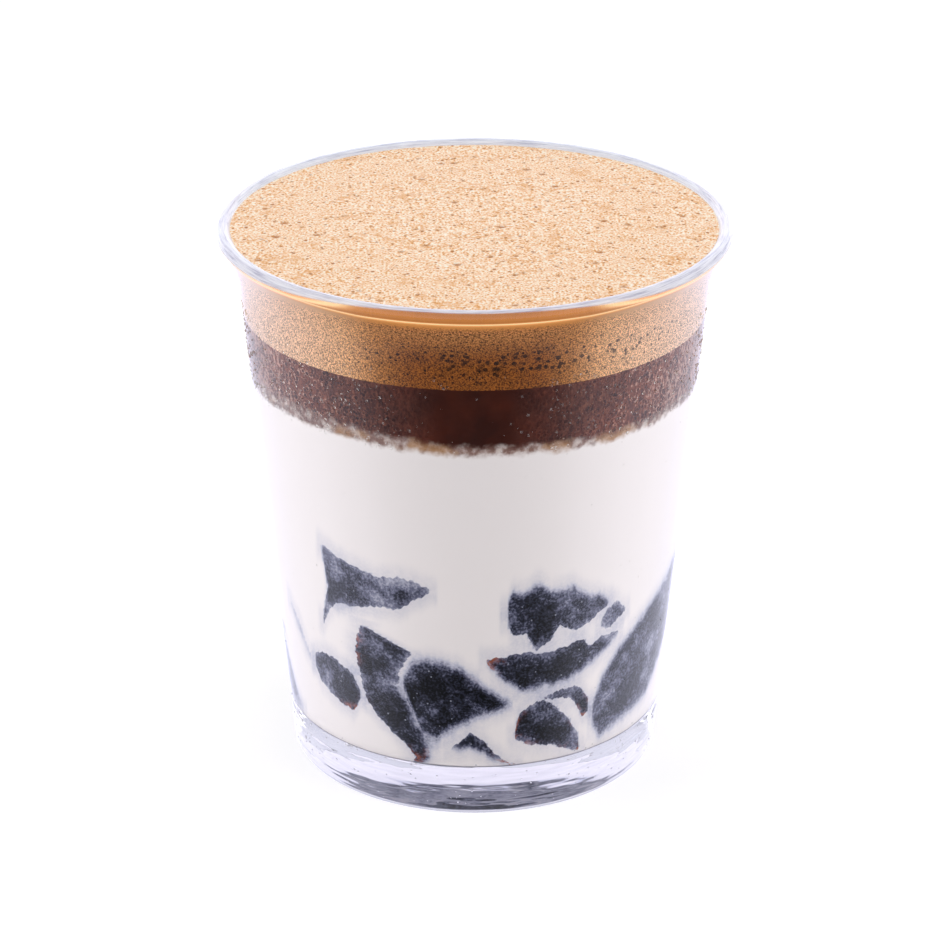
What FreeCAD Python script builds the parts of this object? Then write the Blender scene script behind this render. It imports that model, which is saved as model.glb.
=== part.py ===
"""A glass of coconut coffee with grass jelly, brimful, in millimetres and degrees.

The glass is a plain tumbler with straight flared sides, a thick clear base and a lip
that turns outward.  It holds three layers that touch the wall and each other: white
coconut milk, black coffee and a pale coffee foam whose top stands level with the lip.
The origin is the middle of the underside, +Z is up.
"""
import FreeCAD, Part
import math
import os
import Sketcher

vec = FreeCAD.Vector
XZ = "XZ_Plane"
UPRIGHT = "V_Axis"
START, END, CENTRE = 1, 2, 3    # points of a line or an arc in a sketch

doc = FreeCAD.newDocument("CoconutCoffee")

# ---------------------------------------------------------------- driving dimensions
SIZES = (
    ("glass_height", 100.0, "from the underside to the crest of the lip"),
    ("rim_radius", 45.0, "to the outermost point of the lip"),
    ("base_radius", 33.0, "outer wall carried down to the underside"),
    ("lip_reach", 2.9, "how far the lip stands out from the line of the straight wall"),
    ("flare_radius", 20.0, "outer radius of the curve that turns the lip outward"),
    ("wall_thickness", 2.4, "the lip is a full round of half of it"),
    ("base_thickness", 8.7, "solid glass under the drink"),
    ("foot_fillet", 1.2, "round at the foot of the wall"),
    ("floor_fillet", 3.0, "round between the inner wall and the floor"),
    ("lip_gap", 0.9, "from the crest of the lip down to the edge of the foam"),
    ("foam_crown", 0.5, "rise of the foam from its edge to its middle"),
    ("foam_depth", 15.1, "at the wall"),
    ("coffee_depth", 11.7, "mean depth under the foam"),
    ("wave_height", 0.6, "swell of the milk and the coffee where they meet"),
    ("wave_length", 17.0, "distance between two swells"),
)
sheet = doc.addObject("Spreadsheet::Sheet", "Sizes")
for row, (alias, value, note) in enumerate(SIZES, start=1):
    sheet.set("A%d" % row, note)
    sheet.set("B%d" % row, str(value))
    sheet.setAlias("B%d" % row, alias)
doc.recompute()

WALL_RUN = "(Sizes.rim_radius - Sizes.lip_reach - Sizes.base_radius)"
FOAM_EDGE = "(Sizes.glass_height - Sizes.lip_gap)"


def size(alias):
    """The value that the sheet holds now."""
    return float(sheet.get(alias))


# ---------------------------------------------------------------- sketching helpers
def new_body(label):
    """An empty body whose name in the tree and whose file are the label."""
    body = doc.addObject("PartDesign::Body", label)
    body.Label = label
    return body


def new_sketch(body, role, name):
    """A sketch in the body, on the body's own origin plane of that role."""
    sketch = body.newObject("Sketcher::SketchObject", name)
    plane = [feature for feature in body.Origin.OriginFeatures if feature.Role == role][0]
    sketch.AttachmentSupport = [(plane, "")]
    sketch.MapMode = "FlatFace"
    return sketch


def hold(sketch, *rules):
    """Add geometric constraints, each a tuple of its kind and what it holds."""
    for rule in rules:
        sketch.addConstraint(Sketcher.Constraint(*rule))


def measure(sketch, name, expression, *rule):
    """Add a dimension and bind it to the sheet."""
    index = sketch.addConstraint(Sketcher.Constraint(*rule))
    sketch.renameConstraint(index, name)
    sketch.setExpression("Constraints." + name, expression)


def line(sketch, start, end, construction=False):
    return sketch.addGeometry(Part.LineSegment(start, end), construction)


def arc(sketch, centre, start, end, construction=False):
    """The arc that runs counterclockwise about the centre from start to end."""
    spoke = start - centre
    rim = end - centre
    circle = Part.Circle(centre, vec(0, 0, 1), spoke.Length)
    first = math.atan2(spoke.y, spoke.x)
    last = math.atan2(rim.y, rim.x)
    return sketch.addGeometry(Part.ArcOfCircle(circle, first, last), construction)


# ---------------------------------------------------------------- section of the wall
class WallSection:
    """Where the wall's lines and arcs meet, radius along x and height along y.

    The outer wall is a straight line that leans outward, so that carried up to the full
    height it passes the lip by its reach.  It runs into an arc that turns further out,
    and the lip is a full round on the end of that.  The inner wall is the same line and
    arc, a wall thickness inside.
    """

    def __init__(self):
        wall = size("wall_thickness")
        flare = size("flare_radius")
        run = size("rim_radius") - size("lip_reach") - size("base_radius")
        along = vec(run, size("glass_height"), 0).normalize()
        outward = vec(along.y, -along.x, 0)
        self.lip = vec(size("rim_radius") - wall / 2, size("glass_height") - wall / 2, 0)
        self.foot = vec(size("base_radius"), 0, 0)
        # the flare's centre: a flare radius outside the wall, and a flare radius and
        # half a wall from the middle of the lip
        reach = self.lip - self.foot - outward * flare
        sideways = reach.dot(outward)
        back = math.sqrt((flare + wall / 2) ** 2 - sideways ** 2)
        self.flare = self.foot + outward * flare + along * (reach.dot(along) - back)
        to_lip = (self.lip - self.flare).normalize()
        self.neck = self.flare - outward * flare
        self.lip_outside = self.flare + to_lip * flare
        self.lip_inside = self.flare + to_lip * (flare + wall)
        self.inner_neck = self.neck - outward * wall
        self.lean = math.atan2(along.y, along.x)
        self.floor_height = size("base_thickness")
        climb = (self.floor_height - self.inner_neck.y) / along.y
        self.inner_foot = self.inner_neck + along * climb

    def inside_at(self, height):
        """The point of the inner flare at a height."""
        radius = size("flare_radius") + size("wall_thickness")
        rise = height - self.flare.y
        return vec(self.flare.x - math.sqrt(radius ** 2 - rise ** 2), height, 0)


section = WallSection()


def draw_wall(sketch, construction):
    """Outer wall, flare, lip and inner flare, fully held by the sheet."""
    wall = line(sketch, section.foot, section.neck, construction)
    flare = arc(sketch, section.flare, section.lip_outside, section.neck, construction)
    lip = arc(sketch, section.lip, section.lip_outside, section.lip_inside, construction)
    inner_flare = arc(sketch, section.flare, section.lip_inside, section.inner_neck,
                      construction)
    hold(sketch,
         ("PointOnObject", wall, START, -1),
         ("Tangent", wall, END, flare, END),
         ("Tangent", flare, START, lip, START),
         ("Tangent", lip, END, inner_flare, START),
         ("Coincident", inner_flare, CENTRE, flare, CENTRE))
    measure(sketch, "foot_out", "Sizes.base_radius", "DistanceX", -1, 1, wall, START,
            size("base_radius"))
    measure(sketch, "lean", "90 deg - atan(%s / Sizes.glass_height)" % WALL_RUN, "Angle",
            wall, section.lean)
    measure(sketch, "turn", "Sizes.flare_radius", "Radius", flare, size("flare_radius"))
    measure(sketch, "lip_round", "Sizes.wall_thickness / 2", "Radius", lip,
            size("wall_thickness") / 2)
    measure(sketch, "lip_out", "Sizes.rim_radius - Sizes.wall_thickness / 2", "DistanceX",
            -1, 1, lip, CENTRE, section.lip.x)
    measure(sketch, "lip_up", "Sizes.glass_height - Sizes.wall_thickness / 2", "DistanceY",
            -1, 1, lip, CENTRE, section.lip.y)
    return wall, inner_flare


def draw_inside(sketch, wall, inner_flare, corner):
    """The inner wall below its flare, and the floor out to the axis."""
    inner = line(sketch, section.inner_neck, section.inner_foot)
    floor = line(sketch, section.inner_foot, vec(0, section.floor_height, 0))
    axis = line(sketch, vec(0, section.floor_height, 0), corner)
    hold(sketch,
         ("Tangent", inner_flare, END, inner, START),
         ("Parallel", inner, wall),
         ("Coincident", inner, END, floor, START),
         ("Horizontal", floor),
         ("Coincident", floor, END, axis, START),
         ("PointOnObject", axis, START, -2))
    measure(sketch, "sole", "Sizes.base_thickness", "DistanceY", -1, 1, floor, END,
            section.floor_height)
    return axis


def revolve(body, sketch, name):
    """Turn the sketch once round the upright axis of the body."""
    turned = body.newObject("PartDesign::Revolution", name)
    turned.Profile = sketch
    turned.ReferenceAxis = (sketch, [UPRIGHT])
    turned.Angle = 360
    doc.recompute()
    return turned


def ring_edge(shape, radius, height):
    """The name of the round edge about the axis nearest to a radius and height."""
    def miss(edge):
        return abs(edge.Curve.Radius - radius) + abs(edge.Curve.Center.z - height)

    rings = [edge for edge in shape.Edges
             if not edge.Degenerated and isinstance(edge.Curve, Part.Circle)
             and abs(edge.Curve.Axis.z) > 0.99]
    nearest = min(rings, key=miss)
    return "Edge%d" % (1 + [edge.isSame(nearest) for edge in shape.Edges].index(True))


def round_off(body, base, name, radius, height, alias):
    """A fillet on the round edge at that radius and height, bound to the sheet."""
    fillet = body.newObject("PartDesign::Fillet", name)
    fillet.Base = (base, [ring_edge(base.Shape, radius, height)])
    fillet.Radius = size(alias)
    fillet.setExpression("Radius", "Sizes." + alias)
    doc.recompute()
    return fillet


# ---------------------------------------------------------------- the glass
def make_tumbler():
    """The glass as one revolved section, with a rounded foot and a rounded floor."""
    body = new_body("tumbler")
    sketch = new_sketch(body, XZ, "GlassSection")
    wall, inner_flare = draw_wall(sketch, False)
    axis = draw_inside(sketch, wall, inner_flare, vec(0, 0, 0))
    under = line(sketch, vec(0, 0, 0), section.foot)
    hold(sketch,
         ("Coincident", axis, END, -1, 1),
         ("Coincident", under, START, -1, 1),
         ("Coincident", under, END, wall, START))
    turned = revolve(body, sketch, "GlassWall")
    foot = round_off(body, turned, "Foot", section.foot.x, 0, "foot_fillet")
    round_off(body, foot, "Floor", section.inner_foot.x, section.floor_height,
              "floor_fillet")
    return body


# ---------------------------------------------------------------- what fills the glass
def make_filling():
    """All the drink in one piece, face to face with the glass, with a low crown."""
    body = new_body("filling")
    sketch = new_sketch(body, XZ, "FillingSection")
    wall, guide = draw_wall(sketch, True)
    edge_height = size("glass_height") - size("lip_gap")
    edge = section.inside_at(edge_height)
    crown = size("foam_crown")
    dome_radius = (edge.x ** 2 + crown ** 2) / (2 * crown)
    top = vec(0, edge_height + crown, 0)
    inner_flare = arc(sketch, section.flare, edge, section.inner_neck)
    axis = draw_inside(sketch, wall, inner_flare, top)
    dome = arc(sketch, top - vec(0, dome_radius, 0), edge, top)
    hold(sketch,
         ("Coincident", inner_flare, CENTRE, guide, CENTRE),
         ("Equal", inner_flare, guide),
         ("Coincident", inner_flare, START, dome, START),
         ("Coincident", axis, END, dome, END),
         ("PointOnObject", axis, END, -2),
         ("PointOnObject", dome, CENTRE, -2))
    measure(sketch, "edge", FOAM_EDGE, "DistanceY", -1, 1, dome, START, edge_height)
    measure(sketch, "crown", FOAM_EDGE + " + Sizes.foam_crown", "DistanceY", -1, 1,
            dome, END, top.y)
    turned = revolve(body, sketch, "FillingSolid")
    round_off(body, turned, "FillingFloor", section.inner_foot.x, section.floor_height,
              "floor_fillet")
    return body


def swell(x, y):
    """Height of the uneven sheet where milk and coffee meet, from -1 to 1.

    Three slow waves cross at odd angles, so that no two swells look alike.
    """
    turn = 2 * math.pi / size("wave_length")
    waves = ((0.4, 1.0, 0.3), (2.3, 0.8, 1.9), (4.1, 1.3, 4.0))
    return sum(math.sin(turn * pace * (x * math.cos(heading) + y * math.sin(heading)) + start)
               for heading, pace, start in waves) / len(waves)


def make_wave_block():
    """A block under the uneven sheet that reaches past the wall all round."""
    block = doc.addObject("Part::Feature", "WaveBlock")
    level = (size("glass_height") - size("lip_gap") - size("foam_depth")
             - size("coffee_depth"))
    reach = size("rim_radius")
    steps = math.ceil(8 * reach / size("wave_length"))
    places = [reach * (2 * i / steps - 1) for i in range(steps + 1)]
    grid = [[vec(x, y, level + size("wave_height") * swell(x, y)) for y in places]
            for x in places]
    top = Part.BSplineSurface()
    top.interpolate(grid)
    block.Shape = top.toShape().extrude(vec(0, 0, -level))
    block.Placement = FreeCAD.Placement()
    return block


def make_foam_block():
    """A disc over everything that is foam."""
    block = doc.addObject("Part::Cylinder", "FoamBlock")
    block.setExpression("Radius", "Sizes.rim_radius")
    block.setExpression("Height", "Sizes.foam_depth + Sizes.lip_gap")
    block.setExpression("Placement.Base.z", FOAM_EDGE + " - Sizes.foam_depth")
    return block


def combine(kind, label, base, tool):
    """A boolean of two objects, named by the label."""
    result = doc.addObject(kind, label)
    result.Label = label
    result.Base = base
    result.Tool = tool
    return result


def make_layers():
    """Milk, coffee and foam: one filling, parted by the uneven sheet and by a level."""
    filling = make_filling()
    wave_block = make_wave_block()
    foam_block = make_foam_block()
    foam = combine("Part::Common", "coffee_foam", filling, foam_block)
    rest = combine("Part::Cut", "below_foam", filling, foam_block)
    coffee = combine("Part::Cut", "coffee", rest, wave_block)
    milk = combine("Part::Common", "coconut_milk", rest, wave_block)
    return milk, coffee, foam


# ---------------------------------------------------------------- check and write
def check(parts):
    """Stop if any object failed or any sub-part isn't one valid solid."""
    for thing in doc.Objects:
        if "Invalid" in thing.State or "Error" in thing.State:
            raise RuntimeError("%s failed: %s" % (thing.Label, thing.State))
    for part in parts:
        shape = part.Shape
        if shape.isNull() or not shape.isValid() or len(shape.Solids) != 1:
            raise RuntimeError(part.Label + " isn't one valid solid")


def main():
    parts = [make_tumbler(), *make_layers()]
    doc.recompute()
    check(parts)
    os.makedirs("parts", exist_ok=True)
    for part in parts:
        part.Shape.exportStep("parts/%s.step" % part.Label)
        print("%-14s %9.1f mm3" % (part.Label, part.Shape.Volume))


main()
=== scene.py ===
"""Looks of a brimful glass of coconut coffee with grass jelly.

The file follows the glass as it is filled: the tumbler and the dew on it, grass jelly,
coconut milk, black coffee, coffee foam, then the table, the light and the camera.
Sizes are in millimetres and angles in radians, and a mesh is scaled to metres as it is
made.  A place on the wall is an arc length to the right of the front and a height.
"""

import math

import bpy
import numpy as np
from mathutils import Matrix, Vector


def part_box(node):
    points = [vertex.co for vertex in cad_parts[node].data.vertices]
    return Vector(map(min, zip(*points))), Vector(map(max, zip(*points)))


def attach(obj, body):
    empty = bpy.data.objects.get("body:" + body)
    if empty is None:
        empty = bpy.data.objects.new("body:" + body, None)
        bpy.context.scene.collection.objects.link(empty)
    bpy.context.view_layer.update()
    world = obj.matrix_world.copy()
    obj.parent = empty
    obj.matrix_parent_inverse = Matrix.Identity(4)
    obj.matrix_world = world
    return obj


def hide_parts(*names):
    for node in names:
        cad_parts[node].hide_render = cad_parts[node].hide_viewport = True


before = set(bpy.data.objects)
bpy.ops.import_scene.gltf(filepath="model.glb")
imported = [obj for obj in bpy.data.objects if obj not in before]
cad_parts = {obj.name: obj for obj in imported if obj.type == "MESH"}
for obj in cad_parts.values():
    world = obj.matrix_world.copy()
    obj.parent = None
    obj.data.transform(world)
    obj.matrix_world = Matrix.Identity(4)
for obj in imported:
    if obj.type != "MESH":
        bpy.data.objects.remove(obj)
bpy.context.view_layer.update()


# ------------------------------------------------------------------ the tumbler
# A pressed soda-lime tumbler, clear as water, with a thick sole, straight leaning sides
# and a lip that turns outward.  It is one turned section, polished by fire all over.
MM = 0.001
RIM, _, HEIGHT = [round(size / MM, 1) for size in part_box("tumbler")[1]]
BASE = 33.0             # outer wall carried down to the underside
LIP_REACH = 2.9         # the lip beyond the line of the wall
FLARE = 20.0            # outer radius of the curve under the lip
WALL = 2.4
SOLE = 8.7
FOOT_ROUND = 1.2
FLOOR_ROUND = 3.0
GLASS_COLUMNS = 288
SHARP_EDGE = math.radians(50)
# Mist on the lip, carrying a painted sheen: the room's reflection drawn as lavender white.
MIST_SHEEN_HIGH, MIST_SHEEN_LOW, MIST_SHEEN_SOFT = 52, -10, 16     # degrees about the lip's hub
MIST_SHEEN_FROM, MIST_SHEEN_WIDTH = 8, 50                    # degrees round the glass from the front
MIST_SHEEN_THICK = 0.88                                # the share of the glass that it hides
STREAK, STREAK_TURN = 7.7, 16.7                  # a streak in it: length, and degrees wide
MOULD_WAVE, WAVE_FLATNESS, WAVE_DEPTH = 14.3, 5.5, 0.2
WAVY_HEIGHTS = (0.5, 1.5, 8, 12)                 # the waves rise, stay and fade between these

along = np.array([RIM - LIP_REACH - BASE, HEIGHT])
along /= np.linalg.norm(along)
outward = np.array([along[1], -along[0]])
lean = math.atan2(outward[1], outward[0])
lip_hub = np.array([RIM - WALL / 2, HEIGHT - WALL / 2])
reach = lip_hub - (BASE, 0) - outward * FLARE
flare_hub = ((BASE, 0) + outward * FLARE + along
             * (reach @ along - math.sqrt((FLARE + WALL / 2) ** 2 - (reach @ outward) ** 2)))
to_lip = math.atan2(*(lip_hub - flare_hub)[::-1])
floor_hub = np.array([0, SOLE + FLOOR_ROUND])
floor_hub[0] = BASE - (WALL + FLOOR_ROUND + floor_hub[1] * outward[1]) / outward[0]


def inner_radius(height, into_wall=0.0):
    """Radius of the inner wall at a height, or of a skin some way into the glass.

    The leaning line, the flare's circle above it and the floor's circle below it, each
    moved outward by the way into the wall.
    """
    height = np.asarray(height, float)
    flare_turn = FLARE + WALL - into_wall
    floor_turn = FLOOR_ROUND + into_wall
    line = BASE - (height * outward[1] + WALL - into_wall) / outward[0]
    upper = flare_hub[0] - np.sqrt(np.maximum(flare_turn ** 2 - (height - flare_hub[1]) ** 2, 0))
    lower = floor_hub[0] + np.sqrt(np.maximum(floor_turn ** 2 - (height - floor_hub[1]) ** 2, 0))
    radius = np.where(height > flare_hub[1] - flare_turn * outward[1], upper, line)
    return np.where(height < floor_hub[1] + floor_turn * outward[1], lower, radius)


def circle(hub, radius, first, last, steps):
    """Points from one angle to another: the hub plus the radius times (cos, sin)."""
    angle = np.linspace(first, last, steps)[:, None]
    return hub + radius * np.concatenate([np.cos(angle), np.sin(angle)], 1)


def straight(start, end, steps):
    """Evenly spaced points from the start up to, but without, the end."""
    share = np.linspace(0, 1, steps, endpoint=False)[:, None]
    return np.asarray(start) * (1 - share) + np.asarray(end) * share


def tumbler_section():
    """Half the section of the glass, from the middle of its underside to its inner floor.

    Underside, foot, outer wall, flare, lip, inner flare, inner wall, floor round and
    floor: straight lines and parts of circles that touch without a corner.
    """
    foot_hub = np.array([BASE - FOOT_ROUND * (1 + outward[1]) / outward[0], FOOT_ROUND])
    neck = flare_hub - outward * FLARE
    quarter = -math.pi / 2
    return np.concatenate([
        straight((0, 0), (foot_hub[0], 0), 8),
        circle(foot_hub, FOOT_ROUND, quarter, lean, 12)[:-1],
        straight(foot_hub + outward * FOOT_ROUND, neck, 48),
        circle(flare_hub, FLARE, math.pi + lean, to_lip, 14)[:-1],
        circle(lip_hub, WALL / 2, to_lip - math.pi, to_lip, 25)[:-1],
        circle(flare_hub, FLARE + WALL, to_lip, math.pi + lean, 14)[:-1],
        straight(neck - outward * WALL, floor_hub + outward * FLOOR_ROUND, 24),
        circle(floor_hub, FLOOR_ROUND, lean, quarter, 12)[:-1],
        straight((floor_hub[0], SOLE), (0, SOLE), 8),
        [(0, SOLE)]])


def turned(radius, height):
    """Rings about the upright axis: radius times (sin, -cos) of the angle, and height."""
    radius, height = np.broadcast_arrays(radius, height)
    angle = np.arange(radius.shape[1]) * 2 * math.pi / radius.shape[1]
    return np.stack([radius * np.sin(angle), -radius * np.cos(angle), height], 2)


def make_piece(name, skins, **marks):
    """One mesh of closed skins, each an array of rings whose ends shrink to a pole.

    A skin's points lie in rows and columns: the columns close on themselves, and the
    first and last row each become one point.  Marks are point attributes, laid out as
    the skins are.
    """
    points, quads, fans, count = [], [], [], 0
    for skin in skins:
        rows, columns = skin.shape[:2]
        body = (rows - 2) * columns
        grid = count + np.arange(body).reshape(rows - 2, columns)
        beside = np.roll(grid, -1, axis=1)
        poles = np.full((2, columns), count + body) + [[0], [1]]
        quads.append(np.stack([grid[:-1], beside[:-1], beside[1:], grid[1:]], 2).reshape(-1, 4))
        fans.append(np.stack([beside[0], grid[0], poles[0]], 1))
        fans.append(np.stack([grid[-1], beside[-1], poles[1]], 1))
        points += [skin[1:-1].reshape(-1, 3), skin[[0, -1]].mean(1)]
        count += body + 2
    mesh = bpy.data.meshes.new(name)
    mesh.from_pydata(np.concatenate(points) * MM, [],
                     np.concatenate(quads).tolist() + np.concatenate(fans).tolist())
    for mark, layers in marks.items():
        values = [part for layer in layers
                  for part in (layer[1:-1].ravel(), layer[[0, -1]].mean(1))]
        attribute = mesh.attributes.new(mark, "FLOAT", "POINT")
        attribute.data.foreach_set("value", np.concatenate(values).astype(np.float32))
    mesh.shade_smooth()
    mesh.set_sharp_from_angle(angle=SHARP_EDGE)
    piece = bpy.data.objects.new(name, mesh)
    bpy.context.scene.collection.objects.link(piece)
    return piece


def linear(code):
    """An sRGB hex colour as linear red, green, blue and alpha."""
    shares = [int(code[i:i + 2], 16) / 255 for i in (1, 3, 5)]
    return [c / 12.92 if c <= 0.04045 else ((c + 0.055) / 1.055) ** 2.4 for c in shares] + [1]


# A Mix node's sockets: its factor, two numbers and two colours, and the colour it gives.
FACTOR, NUMBER_A, NUMBER_B, COLOUR_A, COLOUR_B, COLOUR_OUT = 0, 2, 3, 6, 7, 2


def add(tree, kind, *inputs, stops=(), **properties):
    """One node, with its inputs as (socket, value) and its properties by name.

    An output socket is linked as a value, and so is the first output of a node.  The
    stops of a colour ramp are (place, sRGB hex) pairs in rising order.
    """
    node = tree.nodes.new("ShaderNode" + kind)
    for name, value in properties.items():
        setattr(node, name, value)
    for place, code in stops[1:-1]:
        node.color_ramp.elements.new(place).color = linear(code)
    for end in (0, -1) if stops else ():
        node.color_ramp.elements[end].position = stops[end][0]
        node.color_ramp.elements[end].color = linear(stops[end][1])
    for socket, value in inputs:
        if isinstance(value, bpy.types.Node):
            value = value.outputs[0]
        if isinstance(value, bpy.types.NodeSocket):
            tree.links.new(value, node.inputs[socket])
        else:
            node.inputs[socket].default_value = value
    return node


def pattern(size):
    """The texture scale whose features lie about a size in millimetres apart."""
    return 1 / (size * MM)


def blotches(tree, place, size, detail, low, high, roughness=0.5):
    """Noise of a size in millimetres, stretched straight between two (noise, value) pairs."""
    noise = add(tree, "TexNoise", ("Scale", pattern(size)), ("Detail", detail),
                ("Roughness", roughness), ("Vector", place))
    return add(tree, "MapRange", ("From Min", low[0]), ("From Max", high[0]), ("To Min", low[1]),
               ("To Max", high[1]), ("Value", noise))


def new_material(name):
    """A material with an empty node tree."""
    material = bpy.data.materials.new(name)
    material.use_nodes = True
    material.node_tree.nodes.clear()
    return material, material.node_tree


def dress(piece, material, slot, *nodes):
    """Give a piece its material, its body and the CAD nodes that it stands for."""
    piece.data.materials.append(material)
    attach(piece, "root")
    if nodes:
        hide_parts(*nodes)


def eased(share):
    """A smooth step from 0 to 1: three squares of the share less two cubes of it."""
    share = np.clip(share, 0, 1)
    return share * share * (3 - 2 * share)


def lip_mist(section):
    """How much mist lies on the glass, 0 to 1, and the turn about the lip's hub.

    The mist, drawn in a lavender white that is a painted sheen, the room's reflection, lies on
    the lip's round top, least at the front: a smooth step in the turn.  The step lies high on
    the lip at the front and slides down its outside toward the sides, which is a smooth step
    again.
    """
    arm = section - lip_hub
    on_lip = np.abs(np.hypot(*arm.T) - WALL / 2) < 0.01
    turn = np.degrees(np.arctan2(arm[:, 1], arm[:, 0]))[:, None]
    away = np.abs((np.arange(GLASS_COLUMNS) * 360 / GLASS_COLUMNS + 180) % 360 - 180)
    edge = MIST_SHEEN_HIGH + (MIST_SHEEN_LOW - MIST_SHEEN_HIGH) * eased((away - MIST_SHEEN_FROM) / MIST_SHEEN_WIDTH)
    mist = on_lip[:, None] * eased((turn - edge) / MIST_SHEEN_SOFT + 0.5)
    return mist, turn * np.ones(edge.shape)


section = tumbler_section()
outer = np.arange(len(section)) < np.argmax(section[:, 1])
foot_waves = outer * np.interp(section[:, 1], WAVY_HEIGHTS, (0, 1, 1, 0))
mist, round_lip = lip_mist(section)
tumbler = make_piece("tumbler_glass",
                     [turned(np.repeat(section[:, :1], GLASS_COLUMNS, 1), section[:, 1:])],
                     wavy=[np.repeat(foot_waves[:, None], GLASS_COLUMNS, 1)],
                     mist=[mist], round_lip=[round_lip])


def see_through(name, ior, bump=False):
    """A clear material that lets the lamps' rays straight through.

    Light that bends on its way to the drink would fall there as grain, so shadow and diffuse
    rays meet a transparent surface, and all others the polished one.  With bump it is the
    tumbler's glass, with its waves at the foot and the mist on its lip, whose lavender white is
    a painted sheen, the room's reflection.
    """
    material, tree = new_material(name)
    path = add(tree, "LightPath")
    clear = add(tree, "BsdfPrincipled", ("Base Color", (1, 1, 1, 1)), ("Roughness", 0.0),
                ("IOR", ior), ("Transmission Weight", 1.0))
    if bump:
        place = add(tree, "TexCoord").outputs["Object"]
        wavy, mist, turn = [add(tree, "Attribute", attribute_name=mark).outputs["Fac"]
                            for mark in ("wavy", "mist", "round_lip")]
        flat = add(tree, "Mapping", ("Scale", (1.0, 1.0, WAVE_FLATNESS)), ("Vector", place))
        waves = add(tree, "TexNoise", ("Scale", pattern(MOULD_WAVE)), ("Detail", 2.0),
                    ("Vector", flat))
        height = add(tree, "Math", (0, waves), (1, wavy), operation="MULTIPLY")
        pressed = add(tree, "Bump", ("Strength", 1.0), ("Distance", WAVE_DEPTH * MM),
                      ("Height", height))
        tree.links.new(pressed.outputs[0], clear.inputs["Normal"])
        apart = add(tree, "SeparateXYZ", (0, place))
        along_rim = add(tree, "CombineXYZ", (0, apart.outputs["X"]), (1, apart.outputs["Y"]),
                        (2, turn))
        fine = (pattern(STREAK), pattern(STREAK), 1 / STREAK_TURN)
        along_rim = add(tree, "Mapping", ("Scale", fine), ("Vector", along_rim))
        streaks = add(tree, "TexNoise", ("Scale", 1.0), ("Detail", 4.0), ("Roughness", 0.7),
                      ("Vector", along_rim))
        # Painted sheen: the room's reflection on the lip, as streaky lavender white.
        painted_lip_sheen = add(tree, "ValToRGB", (0, streaks),
                    stops=((0.34, "#A9ADC6"), (0.46, "#D4D7E6"), (0.6, "#EDF0FA")))
        mist = add(tree, "Math", (0, mist), (1, MIST_SHEEN_THICK), operation="MULTIPLY")
        mist_sheen_film = add(tree, "BsdfPrincipled", ("Roughness", 0.3), ("Specular IOR Level", 0.3),
                  ("Base Color", painted_lip_sheen))
        clear = add(tree, "MixShader", (0, mist), (1, clear), (2, mist_sheen_film))
    bare = add(tree, "BsdfTransparent")
    lamp_ray = add(tree, "Math", (0, path.outputs["Is Shadow Ray"]),
                   (1, path.outputs["Is Diffuse Ray"]), operation="MAXIMUM")
    either = add(tree, "MixShader", (0, lamp_ray), (1, clear), (2, bare))
    add(tree, "OutputMaterial", ("Surface", either))
    return material


# Soda-lime glass, fire polished: mirror smooth, with the usual index of 1.52, and faint level
# waves round the thick foot, where the mould was coldest.  The lip is filmed with mist whose
# streaky lavender white is a painted sheen, the white room's reflection.
dress(tumbler, see_through("fire_polished_soda_lime_glass", 1.52, bump=True), "clear_glass",
      "tumbler")


# ------------------------------------------------------------------ the dew
# Water that the cold drink has drawn out of the air: thick round the coffee, where it
# is coldest, and a few stray beads lower down and on the foot.  Real dew has many more
# and finer beads, and these are as large as they must be to show.
BEAD_COLUMNS = 8
BEADS = ((2000, 72, 87, 0.09, 0.30, True), (240, 12, 72, 0.07, 0.16, False),
         (300, 1.5, 11, 0.10, 0.22, False))     # count, heights, radii, thick at the sides
SIDE_SHARE, SIDE_SPREAD = 0.8, 1.25             # beads that gather there, and how widely
BEAD_RINGS = (0, 0.97, 1, 0.88, 0.55, 0)        # as shares of the bead's radius
BEAD_LIFTS = (-0.03, -0.03, 0, 0.32, 0.55, 0.62)
BEAD_TALL = 1.15


def bead_skins(count, low, high, smallest, largest, at_sides, chance):
    """Beads on the outer wall: domes with a flat back just inside the glass.

    A bead's rings are circles, laid out on the wall's own sideways, upward and outward
    directions.  Its size grows as the cube of a random share, so small ones are the
    commonest, and most beads lie about a quarter turn to the left or right of the front.
    """
    angle = chance.uniform(0, 2 * math.pi, count)
    if at_sides:
        angle = np.where(chance.uniform(0, 1, count) < SIDE_SHARE,
                         np.round(angle / math.pi - 0.5) * math.pi + math.pi / 2
                         + chance.uniform(-SIDE_SPREAD, SIDE_SPREAD, count), angle)
    height = chance.uniform(low, high, count)
    radius = BASE - height * outward[1] / outward[0]
    size = smallest + (largest - smallest) * chance.uniform(0, 1, count) ** 3
    ring = np.array(BEAD_RINGS)[None, :, None]
    lift = np.array(BEAD_LIFTS)[None, :, None]
    turn = np.arange(BEAD_COLUMNS)[None, None] * 2 * math.pi / BEAD_COLUMNS
    angle, height, radius, size = [v[:, None, None] for v in (angle, height, radius, size)]
    side, out = size * ring * np.cos(turn), size * lift
    up = BEAD_TALL * size * ring * np.sin(turn)
    outer_way = radius + up * along[0] + out * outward[0]
    return list(np.stack([np.sin(angle) * outer_way + np.cos(angle) * side,
                          np.sin(angle) * side - np.cos(angle) * outer_way,
                          height + up * along[1] + out * outward[1]], 3))


chance = np.random.default_rng(3)
dew = make_piece("dew", sum([bead_skins(*bead, chance) for bead in BEADS], []))

# Water: index 1.333, so each bead is a small lens with a bright upper edge.
dress(dew, see_through("condensed_water", 1.333), "clear_glass")


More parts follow.
